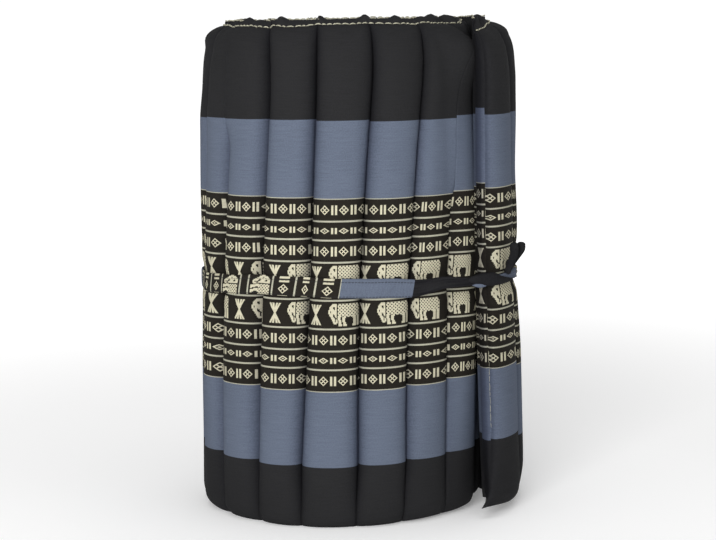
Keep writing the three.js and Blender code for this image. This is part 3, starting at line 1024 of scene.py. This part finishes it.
def bars(x, y, half_height):
    """An upright bar at each end of a motif, which makes a pair with the next motif's."""
    aside = abs(MOTIF_PITCH / 2 - abs(x))
    return (aside > BAR_EDGES[0]) * (aside < BAR_EDGES[1]) * (abs(y) < half_height)


def diamond_row(x, y):
    """A diamond of six slanting threads with four holes, and a pair of bars."""
    inside = (abs(x) + abs(y)) < DIAMOND_NET + DIAMOND_THREAD / 2
    netted = net(x + DIAMOND_THREAD / 2, y, DIAMOND_NET, DIAMOND_THREAD)
    return inside * netted | bars(x, y, BAR_HALF_HEIGHT)


def rhombus_row(x, y):
    """A flat rhombus with a smaller one in it, and a pair of short bars."""
    reach = abs(x) / RHOMBUS_HALF[0] + abs(y) / RHOMBUS_HALF[1]
    outline = (reach < 1.0) * (reach > RHOMBUS_RINGS[0])
    return outline | (reach < RHOMBUS_RINGS[1]) | bars(x, y, SHORT_BAR_HALF_HEIGHT)


def rays(x, y):
    """Rays that spread up and down from one point."""
    spread = abs(y) / RAYS_HALF_HEIGHT
    half_width = RAY_HALF_WIDTHS[0] + spread * (RAY_HALF_WIDTHS[1] - RAY_HALF_WIDTHS[0])
    return any_of(abs(abs(x) - spread * reach) < half_width for reach in RAYS_SPREADS) * (spread < 1.0)


def chart_row(tree, row, x):
    """One row of the chart along x: a colour whose red is solid thread and green the netted body."""
    codes = {".": (0, 0, 0, 1), "#": (1, 0, 0, 1), "o": (0, 1, 0, 1)}
    node = tree.nodes.new("ShaderNodeValToRGB")
    ramp = node.color_ramp
    ramp.interpolation = "CONSTANT"
    changes = [(i, kind) for i, kind in enumerate(row) if i == 0 or row[i - 1] != kind]
    changes.append((len(row), "."))
    ramp.elements.remove(ramp.elements[1])
    for number, (cell, kind) in enumerate(changes):
        position = cell / (len(row) + 1)
        stop = ramp.elements[0] if number == 0 else ramp.elements.new(position)
        stop.position = position
        stop.color = codes[kind]
    plug(tree, x / (CELL_WIDTH * (len(row) + 1)), node.inputs["Fac"])
    parts = new_node(tree, "ShaderNodeSeparateColor", {"Color": node.outputs["Color"]})
    return Value(tree, parts.outputs[0]), Value(tree, parts.outputs[1])


def elephant(tree, x, y):
    """The charted elephant, from its own left edge and its row's middle."""
    height = len(ELEPHANT) * CELL_HEIGHT
    line = ((height / 2 - y) / CELL_HEIGHT).floor()
    masks = []
    for number, row in enumerate(ELEPHANT):
        here = abs(line - number) < 0.5
        masks.append([here * mask for mask in chart_row(tree, row, x)])
    solid, netted = [any_of(kind) for kind in zip(*masks)]
    inside = (x > 0.0) * (x < CELL_WIDTH * len(ELEPHANT[0]))
    body = netted * net(x, y, BODY_NET, BODY_THREAD)
    return inside * (solid | body)


def woven_colour(tree, u, v):
    """The cloth's colour from its place: u along the pad and v up its width."""
    up = v - PATTERN_MIDDLE
    away = abs(up)

    lines = any_of(abs(away - height) < LINE_THICKNESS / 2 for height in BAND_LINES)

    x = ((u - MOTIF_START) % MOTIF_PITCH) - MOTIF_PITCH / 2
    motifs = rhombus_row(x, away - RHOMBUS_ROW)
    for height in DIAMOND_ROWS:
        motifs = motifs | diamond_row(x, away - height)

    along = u % REPEAT_LENGTH
    rise = up - up.sign() * ELEPHANT_LIFT
    motifs = motifs | rays(along - RAYS_MIDDLE, rise) | elephant(tree, along - ELEPHANT_START, rise)

    colour = mix(tree, motifs, GROUND, CREAM)
    colour = mix(tree, lines, colour, LINE_CREAM)
    colour = mix(tree, away > BAND_HALF, colour, BLUE)
    return mix(tree, away > BLUE_HALF, colour, BLACK)


def finish_cloth(tree, shader, attribute, coordinates, colour):
    """Adds the uneven yarns, the speckled weave and its relief to a cloth's colour."""
    grains = (STREAKS, PATCHES, SPECKLE)
    yarns = [yarn_noise(tree, attribute, grain) for grain in grains]
    shade = 1.0
    for yarn, grain in zip(yarns, grains):
        shade = shade + (yarn - 0.5) * grain.strength
    grey = new_node(tree, "ShaderNodeCombineColor", {"Red": shade, "Green": shade, "Blue": shade})
    shaded = mix(tree, 1.0, colour, grey.outputs[0], "MULTIPLY")
    plug(tree, shaded, shader.inputs["Base Color"])

    u, v = [(place * (TURN / pitch)).sine() for place, pitch in zip(coordinates, YARN_PITCHES)]
    relief = new_node(tree, "ShaderNodeBump", {
        "Strength": RELIEF_STRENGTH,
        "Distance": RELIEF_HEIGHT,
        "Height": u * v * YARN_RELIEF + yarns[0] * STREAK_RELIEF,
    })
    plug(tree, relief.outputs[0], shader.inputs["Normal"])


def cover_cloth():
    """The woven cloth of the mattress, with painted shade in its creases and on the free end's wall."""
    material, tree, shader = matt_material("woven_cover_cloth")
    attribute, coordinates = cloth_coordinates(tree)
    colour = woven_colour(tree, coordinates[0], coordinates[1])
    # Painted shade, multiplied into the colour in the creases and on the free end's wall.
    colour = mix(tree, coordinates[2], colour, CREASE_PAINTED_SHADE, "MULTIPLY")
    finish_cloth(tree, shader, attribute, coordinates, colour)
    return material


def strap_cloth():
    """The same cloth cut across, folded and topstitched along both edges, with painted shade streaked through
    the folds of its black, gathered cloth.
    """
    material, tree, shader = matt_material("strap_cloth")
    attribute, coordinates = cloth_coordinates(tree)
    colour = woven_colour(tree, coordinates[0], coordinates[1])
    stitched = any_of(abs(coordinates[2] - place) < TOPSTITCH_HALF_WIDTH for place in TOPSTITCHES)
    dashed = (coordinates[1] % TOPSTITCH_STEP) < TOPSTITCH_LENGTH
    colour = mix(tree, stitched * dashed * TOPSTITCH_SHADE, colour, BLACK)
    # Painted shade of the folds: the black, gathered cloth darkened in streaks along its length.
    folds = yarn_noise(tree, attribute, FOLDS)
    gathered = abs(coordinates[1] - PATTERN_MIDDLE) > BLUE_HALF
    depth = FOLD_SHADE_DEPTH + (folds - 0.5) * FOLDS.strength
    colour = mix(tree, gathered * depth, colour, FOLD_PAINTED_SHADE, "MULTIPLY")
    finish_cloth(tree, shader, attribute, coordinates, colour)
    return material


def thread_material():
    """Cream cotton thread, unevenly dyed."""
    material, tree, shader = matt_material("cotton_thread")
    place = tree.nodes.new("ShaderNodeTexCoord").outputs["Object"]
    texture = new_node(tree, "ShaderNodeTexNoise", {"Scale": THREAD_GRAIN, "Vector": place})
    colour = mix(tree, texture.outputs["Fac"], THREAD_DARK, THREAD_LIGHT)
    plug(tree, colour, shader.inputs["Base Color"])
    return material


class Path:
    """A line through points, with the distance along it to each of them."""

    def __init__(self, points):
        self.points = points
        self.distances = [0.0]
        for a, b in zip(points, points[1:]):
            self.distances.append(self.distances[-1] + (b - a).length)
        self.length = self.distances[-1]

    def at(self, distance):
        """The point at a distance along the line."""
        n = bisect.bisect_right(self.distances, distance, 1, len(self.points) - 1) - 1
        span = self.distances[n + 1] - self.distances[n] or 1
        return self.points[n].lerp(self.points[n + 1], clamp((distance - self.distances[n]) / span))


def ring_angles(sides):
    """The angles of the corners of a ring with this many sides."""
    return [TURN * side / sides for side in range(sides)]


def heading(points, n):
    """The way in which a line of points runs at one of them."""
    return (points[min(n + 1, len(points) - 1)] - points[max(n - 1, 0)]).normalized()


def left_of_knot(point):
    """How far leftwards round the roll from the knot a point of the floor plan stands, in radians."""
    return (math.radians(KNOT_ANGLE) - math.atan2(point.x - AXIS_X, AXIS_Y - point.y)) % TURN


def strap_line(stations):
    """The tight line of the strap on the floor plan, from the knot leftwards round the back to the knot."""
    crests = []
    for station in stations:
        if station.phi > PHI_END - TURN - math.radians(STRAP_SEARCH):
            for z in (STRAP_HEIGHT - STRAP_WIDTH / 2, STRAP_HEIGHT, STRAP_HEIGHT + STRAP_WIDTH / 2):
                crests.append(pad_point(station, z, station.outer(z)).xy)
    hull = sorted([crests[i] for i in convex_hull_2d(crests)], key=left_of_knot)
    short = TURN - left_of_knot(hull[-1])
    knot = hull[-1].lerp(hull[0], short / (short + left_of_knot(hull[0])))
    return Path([knot, *hull, knot])


class Strap:
    """The strap's line, with a height above the floor and a way out from the roll at every place on it."""

    def __init__(self, stations):
        path = strap_line(stations)
        self.length = path.length
        self.count = round(path.length / STRAP_STEP)
        self.line = [path.at(path.length * i / self.count) for i in range(self.count + 1)]

    def plan(self, distance):
        """The point on the floor plan at a distance leftwards from the knot, and the way off the roll."""
        at = (distance / self.length * self.count) % self.count
        n = int(at)
        point = self.line[n].lerp(self.line[n + 1], at - n)
        before = self.line[(n - 2) % self.count]
        after = self.line[(n + 3) % self.count]
        ahead = (after - before).normalized()
        return point, Vector((-ahead.y, ahead.x))

    def point(self, distance, out, up):
        """A point at a distance leftwards from the knot, off the roll and up from the strap's middle."""
        place, away = self.plan(distance)
        return Vector((place.x + away.x * out, place.y + away.y * out, self.height(distance) + up))

    def height(self, distance):
        height = along_table(STRAP_RISES, distance % self.length)
        return STRAP_RISES[-1].height if height is None else height


def loft(skin, name, rings, cloth):
    """A closed skin through rings of points, with the cloth's place for each point of each ring."""
    sides = len(rings[0])
    numbers = [
        [skin.vertex((name, n, s), lambda p=point: p) for s, point in enumerate(ring)]
        for n, ring in enumerate(rings)
    ]
    for n in range(len(rings) - 1):
        for s in range(sides):
            corners = [(n, s), (n, (s + 1) % sides), (n + 1, (s + 1) % sides), (n + 1, s)]
            skin.face([numbers[i][j] for i, j in corners], [cloth(i, j) for i, j in corners])
    for n in (0, len(rings) - 1):
        skin.face(numbers[n], [cloth(n, s) for s in range(sides)])


def strap_band(strap):
    """The band from one side of the knot round the roll to the other."""
    skin = Skin()
    rings = []
    places = []
    for i in range(strap.count + 1):
        distance = strap.length * i / strap.count
        passed = distance - KNOT_HALF
        left = strap.length - distance - KNOT_HALF
        near = max(1 - clamp(passed / GATHER_LENGTHS[0]), 1 - clamp(left / GATHER_LENGTHS[1]))
        gather = lerp(near, smooth(near, 0, 1), GATHER_BLEND)
        half_width = lerp(STRAP_WIDTH, GATHERED_WIDTH, gather) / 2
        thickness = lerp(STRAP_THICKNESS, GATHERED_THICKNESS, gather)
        short = PATTERN_REACHED - passed
        woven = PATTERN_MIDDLE + BAND_HALF + short * (BLUE_SCALE if short > 0 else PATTERN_SCALE)
        woven = max(woven, STRAP_FINISH - left)
        ring = []
        row = []
        for around in ring_angles(BAND_SIDES):
            across = math.copysign(abs(math.sin(around)) ** BAND_POWERS[0], math.sin(around))
            depth = math.copysign(abs(math.cos(around)) ** BAND_POWERS[1], math.cos(around))
            folds = gather * GATHER_FOLDS * math.sin(GATHER_RIDGES * across + GATHER_TWIST * distance)
            ripple = RIPPLE * uneven(distance / RIPPLE_LENGTH, across, 0.0)
            out = STRAP_CLEARANCE + thickness * (0.5 + 0.5 * depth) + (folds + ripple) * max(depth, 0)
            ring.append(strap.point(distance, out, half_width * across))
            slant = STRAP_SLANT * across
            row.append((STRAP_PLACE + STRAP_WIDTH / 2 * (1 - across), woven + slant, across))
        rings.append(ring)
        places.append(row)
    loft(skin, "band", rings, lambda n, s: places[n][s])
    return skin


def curve_between(before, a, b, after, share):
    """A smooth curve from a to b that heads away from before and on to after."""
    return 0.5 * (
        2 * a + (b - before) * share
        + (2 * before - 5 * a + 4 * b - after) * share ** 2
        + (3 * a - before - 3 * b + after) * share ** 3
    )


def fold_sections(table):
    """The sections of a fold, with more of them put in along smooth curves."""
    rows = []
    last = len(table) - 1
    for n in range(last):
        near = [table[max(n - 1, 0)], table[n], table[n + 1], table[min(n + 2, last)]]
        for step in range(FOLD_STEPS):
            share = step / FOLD_STEPS
            rows.append(Section(*(curve_between(*values, share) for values in zip(*near))))
    rows.append(table[last])
    return rows


def cloth_fold(skin, name, strap, table, stands, woven):
    """A fold of the strap's cloth. One that stands has its width out from the roll, and else upwards."""
    rows = fold_sections(table)
    points = [strap.point(row.distance, row.out, row.up) for row in rows]
    rings = []
    for n, row in enumerate(rows):
        ahead = heading(points, n)
        away = strap.plan(row.distance)[1]
        across = Vector((away.x, away.y, 0)) if stands else Vector((0, 0, 1))
        across = (across - ahead * across.dot(ahead)).normalized()
        through = ahead.cross(across)
        ring = []
        for side, around in enumerate(ring_angles(FOLD_SIDES)):
            turned = FOLD_CREASE_COUNT * around + FOLD_CREASE_TWIST * n
            crease = 1 + FOLD_CREASES * math.sin(turned) * math.cos(0.5 * around)
            beside = points[n] * FOLD_WRINKLE_SCALE + Vector((side * FOLD_WRINKLE_STEP, 0, 0))
            wrinkle = 1 + FOLD_WRINKLES * uneven(*beside)
            offset = across * row.half_across * math.cos(around)
            offset += through * row.half_through * math.sin(around)
            ring.append(points[n] + offset * crease * wrinkle)
        rings.append(ring)

    def cloth(n, side):
        return STRAP_PLACE + FOLD_CLOTH_STEP * side, woven + FOLD_CLOTH_STEP * n, 0.0

    loft(skin, name, rings, cloth)


def strap_knot(strap):
    """The knot's folds and the loop that stands up from them."""
    skin = Skin()
    cloth_fold(skin, "leaf", strap, LEAF, False, KNOT_BLACK)
    cloth_fold(skin, "underfold", strap, UNDERFOLD, False, KNOT_BLUE)
    cloth_fold(skin, "first lobe", strap, FIRST_LOBE, True, KNOT_BLACK)
    cloth_fold(skin, "second lobe", strap, SECOND_LOBE, True, KNOT_BLACK)
    return skin


def thread_stitch(skin, name, path, radius, off):
    """One stitch of thread along a path. Off is the way off the cloth."""
    rings = []
    for n, point in enumerate(path):
        ahead = heading(path, n)
        side = ahead.cross(off).normalized()
        over = side.cross(ahead).normalized()
        reach = radius * (THREAD_TIP if n in (0, len(path) - 1) else 1.0)
        ways = [side * math.cos(angle) + over * math.sin(angle) for angle in ring_angles(THREAD_SIDES)]
        rings.append([point + way * reach for way in ways])
    loft(skin, name, rings, lambda n, s: (0.0, 0.0, 0.0))


def running_stitches(skin, name, line, radius, off):
    """Uneven stitches along a line of points, each dipping into the cloth at both ends."""
    chance = random.Random(name)
    path = Path(line)
    start = 0.0
    number = 0
    while start + STITCH_LENGTHS[0] < path.length:
        length = lerp(*STITCH_LENGTHS, chance.random())
        strays = [STITCH_STRAY * (chance.random() - 0.5) for end in range(2)]
        thread = []
        for i in range(STITCH_STEPS + 1):
            share = i / STITCH_STEPS
            lift = radius * (STITCH_ARCH * math.sin(math.pi * share) - STITCH_SINK) + lerp(*strays, share)
            thread.append(path.at(start + length * share) + off * lift)
        thread_stitch(skin, (name, number), thread, radius, off)
        start += length + lerp(*STITCH_GAPS, chance.random())
        number += 1


def rim_stitches(stations):
    """The stitches round the outer and inner rims, and down the corner of the free end."""
    skin = Skin()
    up = Vector((0, 0, 1))
    for name, w, face in (("outer", 1.0, Station.outer), ("inner", 0.0, Station.inner)):
        line = []
        for station in stations:
            rise = top_rise(station, w, 1.0) + STITCH_LIFT
            line.append(pad_point(station, RIM_HEIGHT, face(station, RIM_HEIGHT), at_rim=1.0, raised=rise))
        running_stitches(skin, name, line, STITCH_RADIUS, up)

    last = stations[-1]
    corner = []
    for level in range(CORNER_LEVELS + 1):
        z = lerp(*CORNER_HEIGHTS, level / CORNER_LEVELS)
        corner.append(pad_point(last, z, last.outer(z)))
    off = Vector((corner[0].x - AXIS_X, corner[0].y - AXIS_Y, 0)).normalized()
    running_stitches(skin, "corner", [point + off * CORNER_LIFT for point in corner], CORNER_RADIUS, off)
    return skin


def main():
    stations = pad_stations()
    mattress = mattress_skin(stations).finish("mattress_cover", cover_cloth())
    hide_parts("mattress_roll")
    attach(mattress, "root")

    stitches = rim_stitches(stations).finish("rim_stitches", thread_material())
    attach(stitches, "root")

    strap = Strap(stations)
    cloth = strap_cloth()
    band = strap_band(strap).finish("strap_band", cloth)
    knot = strap_knot(strap).finish("strap_knot", cloth)
    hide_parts("tie_strap")
    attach(band, "root")
    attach(knot, "root")


def floor_and_light():
    """The floor that the roll stands on, and its lights."""
    scene = bpy.context.scene
    scene.view_settings.view_transform = "Standard"
    mesh = bpy.data.meshes.new("floor")
    corners = [(x * FLOOR_REACH, y * FLOOR_REACH, 0) for x, y in ((-1, -1), (1, -1), (1, 1), (-1, 1))]
    mesh.from_pydata(corners, [], [(0, 1, 2, 3)])
    mesh.materials.append(floor_material())
    floor = bpy.data.objects.new("floor", mesh)
    scene.collection.objects.link(floor)
    floor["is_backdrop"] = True
    studio_world(scene)
    for lamp in LAMPS:
        light = bpy.data.lights.new(lamp.name, "AREA")
        light.size = lamp.size
        light.energy = lamp.power
        lit = bpy.data.objects.new(lamp.name, light)
        lit.location = lamp.place
        aim = Vector((0, 0, LAMP_AIM_HEIGHT)) - Vector(lamp.place)
        lit.rotation_euler = aim.to_track_quat("-Z", "Y").to_euler()
        scene.collection.objects.link(lit)


def ramped(tree, socket, ramp, kind="LINEAR"):
    """A ramp's value for a socket's, which stays at its ends beyond them."""
    ends = zip(("From Min", "From Max", "To Min", "To Max"), ramp)
    node = new_node(tree, "ShaderNodeMapRange", {"Value": socket, **dict(ends)})
    node.interpolation_type = kind
    return Value(tree, node.outputs[0])


def floor_material():
    """A pale floor, lit up more and more away from the roll."""
    material, tree, shader = matt_material("pale_floor")
    shader.inputs["Base Color"].default_value = (*FLOOR_COLOUR, 1)
    shader.inputs["Roughness"].default_value = FLOOR_ROUGHNESS
    shader.inputs["Specular IOR Level"].default_value = FLOOR_SPECULAR
    shader.inputs["Emission Color"].default_value = (1, 1, 1, 1)
    place = tree.nodes.new("ShaderNodeTexCoord").outputs["Object"]
    distance = new_node(tree, "ShaderNodeVectorMath", {0: place})
    distance.operation = "LENGTH"
    glow = ramped(tree, distance.outputs["Value"], FLOOR_GLOW, "SMOOTHSTEP")
    plug(tree, glow, shader.inputs["Emission Strength"])
    return material


def studio_world(scene):
    """A bright wall behind the roll that fades to a dimmer front and a dimmer left side."""
    world = bpy.data.worlds.new("studio")
    world.use_nodes = True
    tree = world.node_tree
    background = tree.nodes["Background"]
    way = tree.nodes.new("ShaderNodeTexCoord").outputs["Generated"]
    parts = new_node(tree, "ShaderNodeSeparateXYZ", {"Vector": way})
    strength = ramped(tree, parts.outputs[1], WALL_BEHIND) * ramped(tree, parts.outputs[0], LEFT_SIDE)
    plug(tree, strength, background.inputs["Strength"])
    background.inputs["Color"].default_value = (1, 1, 1, 1)
    scene.world = world


def photo_camera():
    """A camera that sees the roll as the photograph shows it."""
    camera_data = bpy.data.cameras.new("camera")
    camera_data.sensor_width = SENSOR_WIDTH
    camera_data.sensor_fit = "HORIZONTAL"
    camera_data.lens = FOCAL_PIXELS / PICTURE_WIDTH * SENSOR_WIDTH
    camera = bpy.data.objects.new("camera", camera_data)
    place = Matrix.Translation((AXIS_X + CAMERA_ASIDE, AXIS_Y - CAMERA_DISTANCE, CAMERA_HEIGHT))
    pitch = Matrix.Rotation(math.radians(90 - CAMERA_PITCH), 4, "X")
    roll = Matrix.Rotation(math.radians(-CAMERA_ROLL), 4, "Z")
    camera.matrix_world = place @ pitch @ roll
    bpy.context.scene.collection.objects.link(camera)
    bpy.context.scene.camera = camera


photo_camera()
floor_and_light()
main()

bounds = {"cad": cad_bounds, "visual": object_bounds()}
{name: [list(corner) for corner in box] for name, box in bounds.items()}
